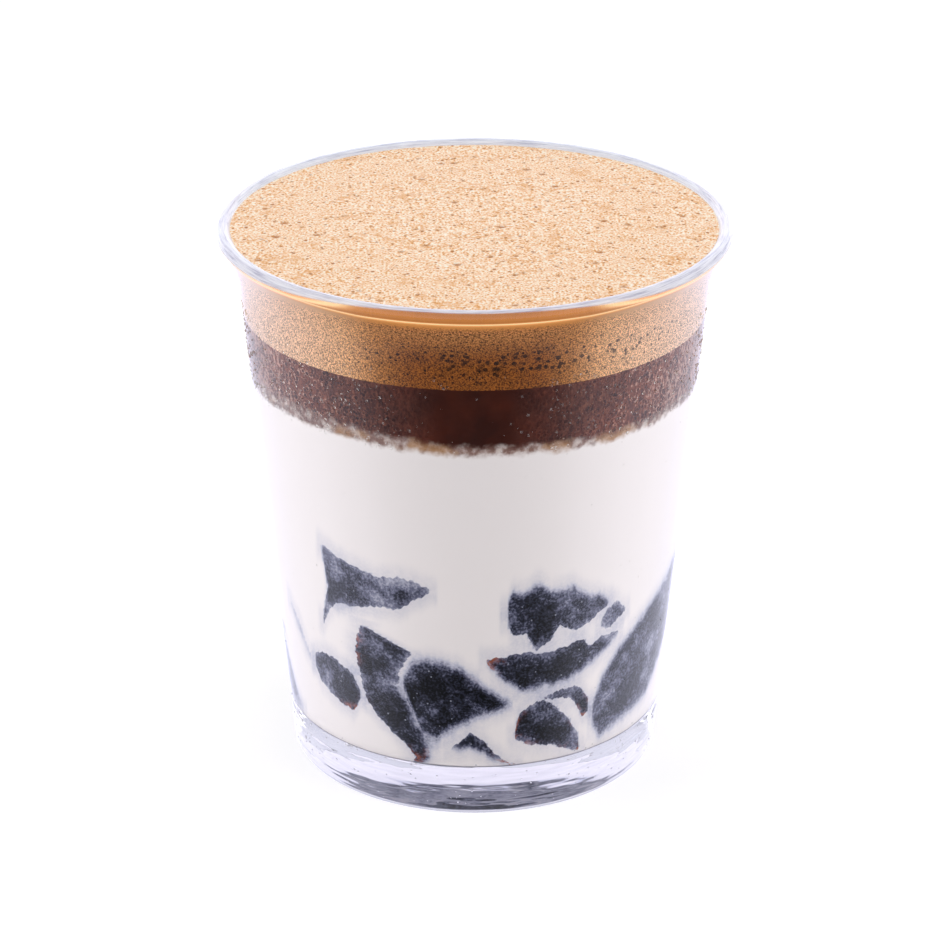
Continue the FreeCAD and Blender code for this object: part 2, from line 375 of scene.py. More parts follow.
# ------------------------------------------------------------------ the grass jelly
# Shreds of black grass jelly, torn with a spoon: flat, pointed, a few millimetres thick
# and soft enough to lie against the glass.  Some edges are pressed on the wall and read
# crisp, others lean away from it and fade into the milk.
DRINK_IN_WALL = 0.10              # the drink reaches this far into the glass, so no air shows
JELLY_IN_WALL = 0.15
THICKEST, PLUMPNESS = 3.5, 0.45   # a shred's thickness: at most, and as a share of its width
RIPPLE = 0.12                     # on its torn edges
CRISP, SOFT = 0.12, 1.3           # half the width of an edge's fade
END_FADE = 0.3
CREEP, CREEP_REACH = 0.3, 1.3     # milk over its long edges: share hidden, and how far in
HAZY_FILM, HAZY_DEPTH = 0.3, 0.4  # a shred under a thicker film than this lies deeper
BROWN_REACH, BROWN_EDGE = 2.6, 0.9
BACK_FROM, BACK_SPAN = 56, 98     # the arc that the shreds at the back share
LEAF_POINTS = 8                   # along each edge of a shred at the back
LEAF_LOW, LEAF_HIGH = 9.6, 10.2   # its edges stay above these heights
MILK_COLOUR = "#F7F0F1"
MILK_PATCH, JELLY_GRAIN, MILK_BEAD, TORN_SKIN = 5.9, 0.435, 1.67, 1.1
STATIONS = 56
JELLY_COLUMNS = 24

# Each shred: the way it runs, how soft its low and its high edge are, how much milk
# lies over all of it, and its outline as (run, low edge, high edge).
FRONT_SHREDS = (
    ("around", CRISP, CRISP, 0.26, (
        (-28.8, 48.0, 49.6), (-28.2, 45.2, 49.4), (-27.4, 41.0, 49.0), (-26.6, 39.6, 48.6),
        (-25.5, 38.6, 48.1), (-22, 38.8, 47.3), (-17, 40.2, 46.2), (-13, 40.4, 46.9),
        (-10.5, 42.6, 46.6), (-7.4, 44.6, 45.3))),
    ("around", CRISP, CRISP, 0.2, (
        (-29.0, 32.8, 34.2), (-28.3, 34.0, 37.8), (-27.3, 36.4, 41.6), (-26.2, 37.8, 43.4),
        (-24.6, 38.9, 43.0), (-23, 40.0, 41.4))),
    ("around", CRISP, CRISP, 0.15, (
        (-31.8, 23.0, 25.6), (-30, 20.2, 26.6), (-27, 18.6, 26.8), (-24.5, 17.6, 25.8),
        (-22.3, 17.2, 24.8), (-20.6, 20.2, 21.4))),
    ("upward", CRISP, SOFT, 0.06, (
        (9.0, -10.6, -8.6), (10.5, -10.2, -7.9), (12.5, -11.4, -7.7), (15, -14.4, -8.2),
        (18.5, -18.0, -9.8), (21, -19.6, -11.0), (24.6, -20.6, -13.4), (25.4, -20.8, -14.6))),
    ("upward", CRISP, CRISP, 0.10, (
        (24.6, -16.0, -15.2), (25.2, -20.6, -13.2), (28, -21.3, -13.0), (30.5, -21.6, -11.6),
        (32.2, -21.4, -10.8), (34, -21.0, -15.6), (35.6, -20.4, -19.4))),
    ("around", SOFT, SOFT, 0.06, (
        (-12.2, 25.0, 27.4), (-11, 21.0, 29.8), (-9, 15.5, 30.8), (-6.5, 15.0, 30.9),
        (-3, 17.6, 30.0), (0, 19.2, 27.8), (3, 20.4, 24.8), (6.4, 21.9, 22.2))),
    ("around", SOFT, CRISP, 0.0, (
        (-4.0, 12.9, 13.2), (-0.6, 13.4, 16.6), (1.2, 12.6, 15.2), (3, 11.0, 12.8),
        (5, 9.8, 10.5), (7.2, 9.1, 9.3))),
    ("around", CRISP, SOFT, 0.12, (
        (5.4, 39.0, 42.0), (6.4, 36.2, 45.2), (8.8, 36.2, 44.6), (10.6, 32.4, 46.4),
        (13, 34.2, 44.6), (14.8, 37.0, 44.4), (17.5, 35.2, 44.4), (20, 35.8, 42.0),
        (22.5, 37.4, 41.2), (24.7, 38.6, 39.6))),
    ("around", CRISP, CRISP, 0.2, (
        (23.0, 34.4, 35.4), (24.4, 33.4, 37.6), (26.5, 34.4, 38.6), (28.8, 35.8, 36.4))),
    ("around", SOFT, CRISP, 0.08, (
        (1.8, 31.2, 31.7), (4.4, 27.6, 31.8), (8.5, 24.4, 32.6), (12, 24.9, 31.8),
        (16, 25.4, 32.4), (19.3, 26.6, 33.2), (20.6, 27.2, 31.0), (23, 28.5, 32.4),
        (27.4, 31.6, 32.2))),
    ("around", CRISP, CRISP, 0.05, (
        (6.8, 15.0, 15.8), (7.6, 14.4, 19.8), (9.5, 13.3, 21.6), (12, 12.9, 22.3),
        (14, 12.4, 20.6), (16.2, 11.0, 18.0), (18.6, 9.8, 13.8), (19.0, 10.6, 11.4))),
    ("around", CRISP, CRISP, 0.12, (
        (12, 22.3, 22.7), (14, 22.1, 23.5), (17, 21.6, 23.8), (18.6, 19.0, 23.5),
        (19.4, 17.0, 22.6), (20.8, 17.4, 19.8))),
    ("around", SOFT, SOFT, 0.31, (
        (21.8, 13.5, 19.0), (23.2, 11.4, 23.4), (26, 12.2, 26.8), (29.5, 12.8, 30.0),
        (36.5, 14.6, 33.8), (44.5, 21.0, 37.5), (50, 29.0, 39.5), (54, 34.5, 37.0))),
    ("around", SOFT, CRISP, 0.6, (
        (-40, 33.0, 33.6), (-36, 26.4, 29.6), (-32.8, 23.0, 24.2))),
    ("around", SOFT, SOFT, 0.6, (
        (-54, 20, 26), (-50, 14, 27), (-45, 11, 21), (-40, 10, 14), (-37, 10.2, 10.8))),
    ("floor", 0.8, 0.8, 0.3, (
        (-27, 1, 3), (-20, 0, 7.5), (-10, 2, 6), (0, 1.5, 6.5), (12, 1, 7.5), (20, 2, 6.5),
        (27, 3, 5))),
    ("floor", 1.2, 1.6, 0.6, (
        (-26, 5, 8), (-18, 7, 13.5), (-6, 5.8, 12), (6, 6.2, 12.8), (18, 6.2, 11), (25, 5, 8))),
    ("floor", 0.8, 2.0, 0.42, (
        (-24, 11, 13.5), (-15, 13, 18), (-8, 12, 15.5), (0, 13.5, 17.5), (9, 12, 15),
        (16, 12, 17.5), (22, 10, 13))),
    ("floor", 0.8, 0.8, 0.3, (
        (-24, -13, -11), (-12, -16, -8), (0, -14, -9), (9, -17, -11), (16, -18, -16))),
)
# Thin tips that let light in, as (arc length, height).
BROWN_TIPS = ((-22.0, 17.6), (-9.6, 9.4), (6.2, 9.3), (7.4, 17.2), (7.0, 14.8), (18.6, 10.0),
              (-21.4, 31.0), (20.2, 17.4), (2.0, 31.4))


def back_shreds(count, seed):
    """Shreds round the sides and the back: leaf shapes of random place, size and edge.

    The half width along the leaf is its widest times a power of the cosine of a half
    turn, times a straight lean to one end, and each edge takes a random share of it.
    """
    chance = np.random.default_rng(seed)
    leaves = []
    for number in range(count):
        run = np.linspace(-0.5, 0.5, LEAF_POINTS)
        middle = chance.uniform(15, 42) + chance.uniform(-9, 9) * run
        bulge = chance.uniform(3, 6) * np.cos(math.pi * 0.94 * run) ** chance.uniform(0.5, 1.2)
        bulge = bulge * (1 + chance.uniform(-1.3, 1.3) * run)
        arc = BACK_FROM + BACK_SPAN * (number + chance.uniform(0.2, 0.8)) / count
        arc = arc + chance.uniform(12, 22) * run
        low = np.maximum(middle - bulge * chance.uniform(0.7, 1.2, LEAF_POINTS), LEAF_LOW)
        high = np.maximum(middle + bulge * chance.uniform(0.7, 1.2, LEAF_POINTS), LEAF_HIGH)
        edges = chance.choice([CRISP, SOFT], 2)
        film = chance.choice([0.05, 0.12, 0.45])
        leaves.append(("around", *edges, film, tuple(zip(arc, low, high))))
    return leaves


def edges_at(shred, number, run):
    """Low and high edge at a run: straight between stations, plus three short sine waves."""
    stations = np.array(shred[4])
    ripple = RIPPLE * (np.sin(run * 5.1 + number) + np.sin(run * 2.3 + number * 2.7)
                       + 0.7 * np.sin(run * 11.3 + number * 1.9))
    return [np.interp(run, stations[:, 0], stations[:, side]) + ripple for side in (1, 2)]


def shown_at(shred, number, arc, height, inset=0.0):
    """How much of a shred shows through the milk at a place on the wall, 0 to 1.

    Each edge is a smooth step as wide as the edge is soft, moved inward by the inset.
    The film of milk over the whole shred takes its share off, and so does milk that
    creeps a millimetre or so over the long edges.
    """
    way, soft_low, soft_high, film, stations = shred
    run, across = (height, arc) if way == "upward" else (arc, height)
    low, high = edges_at(shred, number, run)
    shown = 1 - film
    for depth, soft in ((across - low, soft_low), (high - across, soft_high)):
        crept = CREEP * np.exp(-(depth / CREEP_REACH) ** 2)
        shown = shown * eased((depth - inset) / (2 * soft) + 0.5) * (1 - crept)
    for depth in (run - stations[0][0], stations[-1][0] - run):
        shown = shown * eased((depth - inset) / (2 * END_FADE) + 0.5)
    return shown


def on_wall(arc, height, depth):
    """The point some depth inside the skin of the drink, from its arc length and height."""
    angle = arc / inner_radius(height)
    radius = inner_radius(height, DRINK_IN_WALL) - depth
    return np.stack([radius * np.sin(angle), -radius * np.cos(angle), height], -1)


def shred_skin(shred, number):
    """A torn shred: its skin, how much each point shows, and how brown it is.

    A lens section is carried along the run, flat where it meets the glass.  Round the
    section, the place across goes from the low to the high edge as a cosine.  Inward it
    swells as the sine, up to its thickness, and outward only to its press on the glass,
    as the root of the sine.  Brown falls off as a bell curve from tips and from edges.
    """
    way, _, _, film, stations = shred
    run = np.linspace(stations[0][0], stations[-1][0], STATIONS)[:, None]
    low, high = edges_at(shred, number, run)
    turn = np.arange(JELLY_COLUMNS) * 2 * math.pi / JELLY_COLUMNS
    across = (low + high) / 2 - (high - low) / 2 * np.cos(turn)
    thick = np.minimum(PLUMPNESS * (high - low), THICKEST)
    press = (JELLY_IN_WALL - DRINK_IN_WALL) * np.sqrt(np.abs(np.sin(turn)))
    depth = np.where(np.sin(turn) > 0, thick * np.sin(turn), -press)
    run = np.broadcast_to(run, across.shape)
    if way == "floor":
        skin = np.stack([run, across, SOLE - DRINK_IN_WALL + depth], -1)
        return skin[:, ::-1], shown_at(shred, number, run, across)[:, ::-1], run * 0
    if film > HAZY_FILM:
        depth = depth + HAZY_DEPTH
    arc, height = (across, run) if way == "upward" else (run, across)
    skin = on_wall(arc, height, depth)
    shown = shown_at(shred, number, arc, height)
    gaps = [((arc - tip[0]) ** 2 + (height - tip[1]) ** 2) / BROWN_REACH ** 2
            for tip in BROWN_TIPS]
    edge = np.minimum(across - low, high - across)
    brown = np.exp(-np.min(gaps, axis=0)) * np.exp(-(edge / BROWN_EDGE) ** 2)
    step = -1 if way == "upward" else 1
    return skin[:, ::step], shown[:, ::step], brown[:, ::step]


def jelly_under_milk(tree):
    """Colour of jelly under a film of milk: from milk through blue grey to black, patchy.

    Milk scatters blue light first, so a thin film over black jelly looks blue grey.
    """
    place = add(tree, "TexCoord").outputs["Object"]
    shown = add(tree, "Attribute", attribute_name="shown").outputs["Fac"]
    film = blotches(tree, place, MILK_PATCH, 5.0, (0.42, 1.0), (0.64, 0.52), roughness=0.65)
    fleck = blotches(tree, place, JELLY_GRAIN, 1.0, (0.4, 1.07), (0.65, 0.78))
    dimmed = add(tree, "Math", (0, film), (1, fleck), operation="MULTIPLY")
    depth = add(tree, "Math", (0, shown), (1, dimmed), operation="MULTIPLY")
    veiled = add(tree, "ValToRGB", (0, depth),
                 stops=((0.0, MILK_COLOUR), (0.22, "#C3C3D5"), (0.45, "#6F718A"),
                        (0.65, "#303242"), (0.9, "#08090E")))
    beads = add(tree, "TexVoronoi", ("Scale", pattern(MILK_BEAD)), ("Vector", place))
    speck = add(tree, "MapRange", ("From Min", 0.11), ("From Max", 0.07), ("To Max", 0.8),
                ("Value", beads))
    speck = add(tree, "Math", (0, speck), (1, shown), operation="MULTIPLY")
    return add(tree, "Mix", (FACTOR, speck), (COLOUR_A, veiled), (COLOUR_B, linear("#A9ACC0")),
               data_type="RGBA").outputs[COLOUR_OUT]


shreds = list(FRONT_SHREDS) + back_shreds(count=24, seed=5)
skins, shown, brown = zip(*[shred_skin(shred, number) for number, shred in enumerate(shreds)])
jelly = make_piece("grass_jelly", skins, shown=shown, brown=brown)

# Black jelly set with starch: dull where it is torn, so the glass over it does the
# shining, and brown where an edge is thin enough to let light in.  Its grain and the
# beads of milk on it are drawn coarser than they are, so that they show.
grass_jelly, tree = new_material("black_grass_jelly")
brown = add(tree, "Attribute", attribute_name="brown").outputs["Fac"]
place = add(tree, "TexCoord").outputs["Object"]
torn = blotches(tree, place, TORN_SKIN, 3.0, (0.46, 0.0), (0.56, 1.0))
thin = add(tree, "Math", (0, brown), (1, torn), operation="MULTIPLY")
tint = add(tree, "Mix", (FACTOR, thin), (COLOUR_A, jelly_under_milk(tree)),
           (COLOUR_B, linear("#A4593A")), data_type="RGBA").outputs[COLOUR_OUT]
skin = add(tree, "BsdfPrincipled", ("Roughness", 0.35), ("Specular IOR Level", 0.05),
           ("Base Color", tint))
add(tree, "OutputMaterial", ("Surface", skin))
dress(jelly, grass_jelly, "coconut_milk")


# ------------------------------------------------------------------ the coconut milk
# Chilled coconut milk, white and opaque, up to an uneven sheet under the coffee.  It greys over
# the jelly that lies close behind its skin, and a painted shade greys it round each shred.
MEETING = 72.3
WAVE_HEIGHT, WAVE_LENGTH = 0.6, 17.0
SEAM_DROP, SEAM_WAVES = 0.8, 0.3         # how far it lies under the sheet, and follows it
MIXED_BAND, LEFT_BAND = 2.3, 1.4         # its width, and how much wider it is at the left
LEFT_TURN, LEFT_WIDTH = -0.9, 0.65
MIXED_LUMP, MIXED_SWIRL, AMBER_PATCH = 1.25, 3.85, 8.3
TUCK = 0.3                               # the milk closes over a crisp edge by this much
# The halo is painted shade: the milk greys round each shred.
HALO_FADE, HALO_FILM, HALO_REACH = 2.6, 0.8, 1.2      # grey in the milk round each shred
CORNER_LOW, CORNER_HIGH = 0.4, 0.85      # the shaded corner fades between these heights
COLUMNS = 432
UNDER_ROWS = 40


def meeting_height(radius, angle):
    """Height of the uneven sheet between milk and coffee: three crossing sine waves."""
    x, y = radius * np.sin(angle), -radius * np.cos(angle)
    turn = 2 * math.pi / WAVE_LENGTH
    waves = ((0.4, 1.0, 0.3), (2.3, 0.8, 1.9), (4.1, 1.3, 4.0))
    swell = sum(np.sin(turn * pace * (x * math.cos(heading) + y * math.sin(heading)) + start)
                for heading, pace, start in waves) / len(waves)
    return MEETING + WAVE_HEIGHT * swell


def ring_rows(start, end, steps):
    """Evenly spaced values down the rows of a skin, the same in every column."""
    return np.linspace(start, end, steps)[:, None] * np.ones((1, COLUMNS))


def above_seam(height, angle):
    """Millimetres above the seam of milk and coffee, and how wide the mixed band is.

    The seam follows the sheet's waves a little, and it is higher, with a wider band, at
    the left: a bell curve of the angle.
    """
    from_left = np.exp(-(np.angle(np.exp(1j * (angle - LEFT_TURN))) / LEFT_WIDTH) ** 2)
    level = MEETING - SEAM_DROP + SEAM_WAVES * (meeting_edge - MEETING) + from_left
    return height - level, (MIXED_BAND + LEFT_BAND * from_left) * np.ones(height.shape)


angle = np.arange(COLUMNS)[None] * 2 * math.pi / COLUMNS
meeting_edge = meeting_height(inner_radius(MEETING), angle)
milk_floor = SOLE - DRINK_IN_WALL
floor_round = ring_rows(0, math.pi / 2, 9)[1:]
round_height = milk_floor + (FLOOR_ROUND + DRINK_IN_WALL) * (1 - np.cos(floor_round))
side_height = round_height[-1] + (meeting_edge - round_height[-1]) * ring_rows(0, 1, 132)[1:]
wall_height = np.concatenate([round_height, side_height])
wall_radius = inner_radius(wall_height, DRINK_IN_WALL)
under_radius = ring_rows(0, 1, UNDER_ROWS) * floor_hub[0]
cap_radius = ring_rows(1, 0, 14)[1:] * wall_radius[-1]
milk_radius = np.concatenate([under_radius, wall_radius, cap_radius])
milk_height = np.concatenate([ring_rows(milk_floor, milk_floor, UNDER_ROWS), wall_height,
                              meeting_height(cap_radius, angle)])
round_arc = 2 * math.pi * inner_radius(milk_height)
milk_arc = np.angle(np.exp(1j * angle)) * inner_radius(milk_height)
hidden = np.ones(milk_height.shape)
on_side = milk_radius > 0.98 * inner_radius(milk_height)
on_floor = milk_height < milk_floor + 0.01
for number, shred in enumerate(shreds):
    if shred[0] == "floor":
        across, back = milk_radius * np.sin(angle), -milk_radius * np.cos(angle)
        hidden *= 1 - shown_at(shred, number, across, back) * on_floor
    else:
        inset = TUCK if CRISP in shred[1:3] else 0.0
        # Painted shade in the milk, reaching past the shred's edges.
        shade_halo = (shred[0], HALO_FADE, HALO_FADE, HALO_FILM, shred[4])
        for arc in (milk_arc, milk_arc + round_arc):
            hidden *= 1 - shown_at(shred, number, arc, milk_height, inset) * on_side
            hidden *= 1 - shown_at(shade_halo, number, arc, milk_height, -HALO_REACH) * on_side
seam, band = above_seam(milk_height, angle)
milk = make_piece("coconut_milk", [turned(milk_radius, milk_height)], shown=[1 - hidden],
                  underside=[1.0 * on_floor], seam=[seam], band=[band])


def mixing_zone(tree, milk, coffee):
    """Colour across the seam: milk, then mauve lumps with amber patches, then coffee.

    The height above the seam, pushed up and down by round lumps and by a swirl, fades
    the milk's colour into the lumps', and its share of the band the lumps' into coffee's.
    """
    place = add(tree, "TexCoord").outputs["Object"]
    seam, band = [add(tree, "Attribute", attribute_name=mark).outputs["Fac"]
                  for mark in ("seam", "band")]
    lumps = add(tree, "TexNoise", ("Scale", pattern(MIXED_LUMP)), ("Detail", 2.0),
                ("Vector", place))
    pushed = blotches(tree, place, MIXED_SWIRL, 3.0, (0.2, -0.65), (0.8, 0.65))
    round_push = add(tree, "MapRange", ("From Min", 0.3), ("From Max", 0.7), ("To Min", 0.22),
                     ("To Max", -0.22), ("Value", lumps))
    moved = add(tree, "Math", (0, pushed), (1, round_push), operation="ADD")
    moved = add(tree, "Math", (0, moved), (1, seam), operation="ADD")
    share = add(tree, "Math", (0, moved), (1, band), operation="DIVIDE")
    from_milk = add(tree, "MapRange", ("From Min", -0.6), ("From Max", 0.8), ("Value", moved),
                    interpolation_type="SMOOTHSTEP")
    to_coffee = add(tree, "MapRange", ("From Min", 0.3), ("From Max", 1.0), ("Value", share),
                    interpolation_type="SMOOTHSTEP")
    mauve = add(tree, "ValToRGB", (0, lumps),
                stops=((0.36, "#8A6C64"), (0.5, "#AC958F"), (0.64, "#CFC0BC")))
    amber = blotches(tree, place, AMBER_PATCH, 3.0, (0.54, 0.0), (0.62, 0.7))
    mauve = add(tree, "Mix", (FACTOR, amber), (COLOUR_A, mauve), (COLOUR_B, linear("#B4875C")),
                data_type="RGBA").outputs[COLOUR_OUT]
    lower = add(tree, "Mix", (FACTOR, from_milk), (COLOUR_A, milk), (COLOUR_B, mauve),
                data_type="RGBA").outputs[COLOUR_OUT]
    upper = add(tree, "Mix", (FACTOR, to_coffee), (COLOUR_A, lower), (COLOUR_B, coffee),
                data_type="RGBA").outputs[COLOUR_OUT]
    return upper


# Coconut milk: fat in water, which scatters all light, with a skin as wet as the glass.
# Its underside glows a little, for the light that the sole gathers, and its lowest corner
# is shaded to the thin dark line that the round of the floor makes in the glass.
coconut_milk, tree = new_material("chilled_coconut_milk")
place = add(tree, "TexCoord").outputs["Object"]
coloured = mixing_zone(tree, jelly_under_milk(tree), linear("#4A2218"))
underside = add(tree, "Attribute", attribute_name="underside").outputs["Fac"]
height = add(tree, "SeparateXYZ", (0, place)).outputs["Z"]
corner = add(tree, "MapRange", ("From Min", (milk_floor + CORNER_LOW) * MM),
             ("From Max", (milk_floor + CORNER_HIGH) * MM), ("To Min", 0.95), ("To Max", 0.0),
             ("Value", height))
corner = add(tree, "Math", (0, corner), (1, underside), operation="SUBTRACT", use_clamp=True)
coloured = add(tree, "Mix", (FACTOR, corner), (COLOUR_A, coloured),
               (COLOUR_B, linear("#4C4E60")), data_type="RGBA").outputs[COLOUR_OUT]
coloured = add(tree, "Mix", (FACTOR, underside), (COLOUR_A, coloured),
               (COLOUR_B, linear("#ECF0FF")), data_type="RGBA",
               blend_type="MULTIPLY").outputs[COLOUR_OUT]
glow = add(tree, "Math", (0, underside), (1, 0.5), operation="MULTIPLY")
skin = add(tree, "BsdfPrincipled", ("Roughness", 0.4), ("Specular IOR Level", 0.1),
           ("Base Color", coloured), ("Emission Color", coloured), ("Emission Strength", glow))
add(tree, "OutputMaterial", ("Surface", skin))
dress(milk, coconut_milk, "coconut_milk", "coconut_milk")


# ------------------------------------------------------------------ the black coffee
# Strong black coffee afloat on the milk: near black red brown, browner at the sides in a painted
# sheen that is partly a haze of mist on the glass and partly the glass's reflection of the room,
# broken in drops and runs.
COFFEE_TOP = 84.0
SHEEN_FROM, SHEEN_OVER = 0.15, 1.05    # radians from the front
THINS_FROM, THINS_OVER = 1.4, 0.9
COFFEE_RUN, COFFEE_DROP, DROP_CLUSTER, MURK = 0.526, 0.95, 7.7, 11.0
RUN_TALL, DROP_DEPTH = 2.0, 0.5


def clinging(angle):
    """How much painted sheen and haze the wall has, 0 to 1: little at the front, most at the
    sides.

    It rises straight with the angle from the front, and falls by half at the back.
    """
    away = np.abs(np.angle(np.exp(1j * angle)))
    rising = np.clip((away - SHEEN_FROM) / SHEEN_OVER, 0, 1)
    return rising * (1 - 0.5 * np.clip((away - THINS_FROM) / THINS_OVER, 0, 1))


side_height = meeting_edge + (COFFEE_TOP - meeting_edge) * ring_rows(0, 1, 30)
side_radius = inner_radius(side_height, DRINK_IN_WALL)
lower_radius = ring_rows(0, 1, 14)[:-1] * side_radius[:1]
upper_radius = ring_rows(1, 0, 5)[1:] * side_radius[-1:]
coffee_radius = np.concatenate([lower_radius, side_radius, upper_radius])
coffee_height = np.concatenate([meeting_height(lower_radius, angle), side_height,
                                ring_rows(COFFEE_TOP, COFFEE_TOP, 4)])
seam, band = above_seam(coffee_height, angle)
coffee = make_piece("coffee", [turned(coffee_radius, coffee_height)], seam=[seam], band=[band],
                    cling=[np.broadcast_to(clinging(angle), coffee_height.shape)])

# Coffee: clear brown water, so deep here that it looks black.  Toward the sides it turns a milky
# brown, partly a haze of mist on the glass and partly a painted sheen, the glass's reflection of
# the room.  This is broken by runs twice as tall as wide and by round drops, both drawn coarse
# enough to show.
black_coffee, tree = new_material("black_coffee")
place = add(tree, "TexCoord").outputs["Object"]
cling = add(tree, "Attribute", attribute_name="cling").outputs["Fac"]
tall = add(tree, "Mapping", ("Scale", (1.0, 1.0, 1 / RUN_TALL)), ("Vector", place))
runs = blotches(tree, tall, COFFEE_RUN, 2.0, (0.3, 0.1), (0.7, 2.1), roughness=0.6)
film = add(tree, "Math", (0, cling), (1, runs), operation="MULTIPLY")
drops = add(tree, "TexVoronoi", ("Scale", pattern(COFFEE_DROP)), ("Vector", place))
outside = add(tree, "ValToRGB", (0, drops),
              stops=((0.22, "#000000"), (0.32, "#909090"), (0.38, "#FFFFFF"), (0.46, "#FFFFFF"),
                     (0.6, "#B4B4B4")))
dotted = blotches(tree, place, DROP_CLUSTER, 2.0, (0.38, 0.25), (0.56, 1.0))
broken = add(tree, "Mix", (FACTOR, dotted), (NUMBER_A, 1.0), (NUMBER_B, outside))
film = add(tree, "Math", (0, film), (1, broken), operation="MULTIPLY")
# Painted sheen: the milky brown rises with the side haze and the glass's reflection.
deep = add(tree, "ValToRGB", (0, film),
           stops=((0.0, "#310D05"), (0.25, "#562B1F"), (0.5, "#70402F"), (0.75, "#8A5644"),
                  (1.0, "#BC9488")))
murk = blotches(tree, place, MURK, 4.0, (0.44, 0.0), (0.64, 1.0))
deep = add(tree, "Mix", (FACTOR, murk), (COLOUR_A, deep), (COLOUR_B, linear("#361307")),
           data_type="RGBA", blend_type="ADD").outputs[COLOUR_OUT]
coloured = mixing_zone(tree, linear(MILK_COLOUR), deep)
raised = add(tree, "Math", (0, outside), (1, cling), operation="MULTIPLY")
beaded = add(tree, "Bump", ("Strength", 1.0), ("Distance", DROP_DEPTH * MM), ("Height", raised))
skin = add(tree, "BsdfPrincipled", ("Roughness", 0.3), ("Specular IOR Level", 0.1),
           ("Base Color", coloured), ("Normal", beaded))
add(tree, "OutputMaterial", ("Surface", skin))
dress(coffee, black_coffee, "black_coffee", "coffee")


# ------------------------------------------------------------------ the coffee foam
# Whipped coffee foam, heaped a hair above its edge and smoothed with a knife: fine
# grain and small burst bubbles on top, packed bubbles against the glass.
FOAM_EDGE = 99.1
FOAM_CROWN = 0.5
KNIFE_MARKS = ((9.0, 0.06), (4.3, 0.03), (2.3, 0.025), (1.3, 0.02))     # length, height
SMEAR_ALONG, SMEAR_ACROSS = 0.6, 1.4      # the knife's marks are drawn out sideways
PITS, PIT_DEPTH = 110, 0.18
PIT_SMALLEST, PIT_SPAN = 0.34, 0.45       # radii, and small pits are the commonest
LARGE_AT, LARGE_SPREAD = 89, 4.0          # the height where the large bubbles gather
LARGE_TURN = 0.25                         # and how far round from the front
FOAM_GRAIN, PACKED_GRAIN, FLECK, CLUMP = 0.385, 0.2325, 1.0, 5.26
GRAIN_DEPTH = 0.2
PORES = ((6.67, 0.06), (4.35, 0.07))      # how far apart, and their radius as a share of that
FINE_BUBBLE, LARGE_BUBBLE = 0.667, 1.22


def foam_top(radius, angle):
    """Height of the foam's top, and how deep in a pit a place is, 0 to 1.

    A shallow dome falling as the square of the radius, with crossing sine waves for the
    marks of the knife and a flat-bottomed bell curve for each pit.
    """
    rim = inner_radius(FOAM_EDGE, DRINK_IN_WALL)
    x, y = radius * np.sin(angle), -radius * np.cos(angle)
    height = FOAM_EDGE + FOAM_CROWN * (1 - (radius / rim) ** 2)
    chance = np.random.default_rng(11)
    for length, size in KNIFE_MARKS:
        for _ in range(4):
            heading, start = chance.uniform(0, 2 * math.pi, 2)
            across = (x * math.cos(heading) * SMEAR_ALONG
                      + y * math.sin(heading) * SMEAR_ACROSS)
            height = height + size * np.sin(2 * math.pi * across / length + start) / 2
    pit = np.zeros(radius.shape)
    for _ in range(PITS):
        far = rim * math.sqrt(chance.uniform(0, 0.97))
        turn = chance.uniform(0, 2 * math.pi)
        size = PIT_SMALLEST + PIT_SPAN * chance.uniform() ** 3
        sideways, away = x - far * math.sin(turn), y + far * math.cos(turn)
        gap = sideways ** 2 + (away * SMEAR_ACROSS) ** 2
        pit = np.maximum(pit, np.exp(-(gap / size ** 2) ** 2))
    return height - PIT_DEPTH * pit, pit


side_height = ring_rows(COFFEE_TOP, FOAM_EDGE, 34)
side_radius = inner_radius(side_height, DRINK_IN_WALL)
lower_radius = ring_rows(0, 1, 5)[:-1] * side_radius[:1]
top_radius = ring_rows(1, 0, 124)[1:] * side_radius[-1:]
top_height, top_pit = foam_top(top_radius, angle)
foam_radius = np.concatenate([lower_radius, side_radius, top_radius])
foam_height = np.concatenate([ring_rows(COFFEE_TOP, COFFEE_TOP, 4), side_height, top_height])
pit = np.zeros(foam_height.shape)
pit[-len(top_pit):] = top_pit
wall = np.ones(foam_height.shape)
wall[-len(top_pit) - 1:] = 0
coarse = (np.exp(-((foam_height - LARGE_AT) / LARGE_SPREAD) ** 2)
          * (0.55 + 0.45 * np.cos(2 * (angle - LARGE_TURN))))
foam = make_piece("coffee_foam", [turned(foam_radius, foam_height)], pit=[pit], wall=[wall],
                  cling=[np.broadcast_to(clinging(angle), foam_height.shape)],
                  coarse=[coarse])

# Whipped coffee: air in sugar syrup, so matt and pale on top, with gold flecks and brown pores.
# Against the glass the imported bubbles are darker at the front and paler at the sides, where a
# haze of mist and a painted sheen, the glass's reflection of the room, lighten them, and they
# are dotted with larger ones.  Under the lip it is smooth, with a thin line of gold where the
# lip gathers the light, which also glows a little.  Its grain is drawn coarser than real foam's,
# so that it shows.
coffee_foam, tree = new_material("whipped_coffee_foam")
place = add(tree, "TexCoord").outputs["Object"]
pit, wall, cling, coarse = [add(tree, "Attribute", attribute_name=mark).outputs["Fac"]
                            for mark in ("pit", "wall", "cling", "coarse")]
grain = add(tree, "TexNoise", ("Scale", pattern(FOAM_GRAIN)), ("Detail", 1.0), ("Vector", place))
top = add(tree, "ValToRGB", (0, grain),
          stops=((0.3, "#D4924C"), (0.42, "#F2C08E"), (0.52, "#FBDAB8"), (0.66, "#FFF6E8")))
fleck = add(tree, "TexNoise", ("Scale", pattern(FLECK)), ("Detail", 2.0), ("Vector", place))
clump = add(tree, "TexNoise", ("Scale", pattern(CLUMP)), ("Detail", 2.0), ("Vector", place))
fleck = add(tree, "Math", (0, fleck), (1, clump), operation="MULTIPLY")
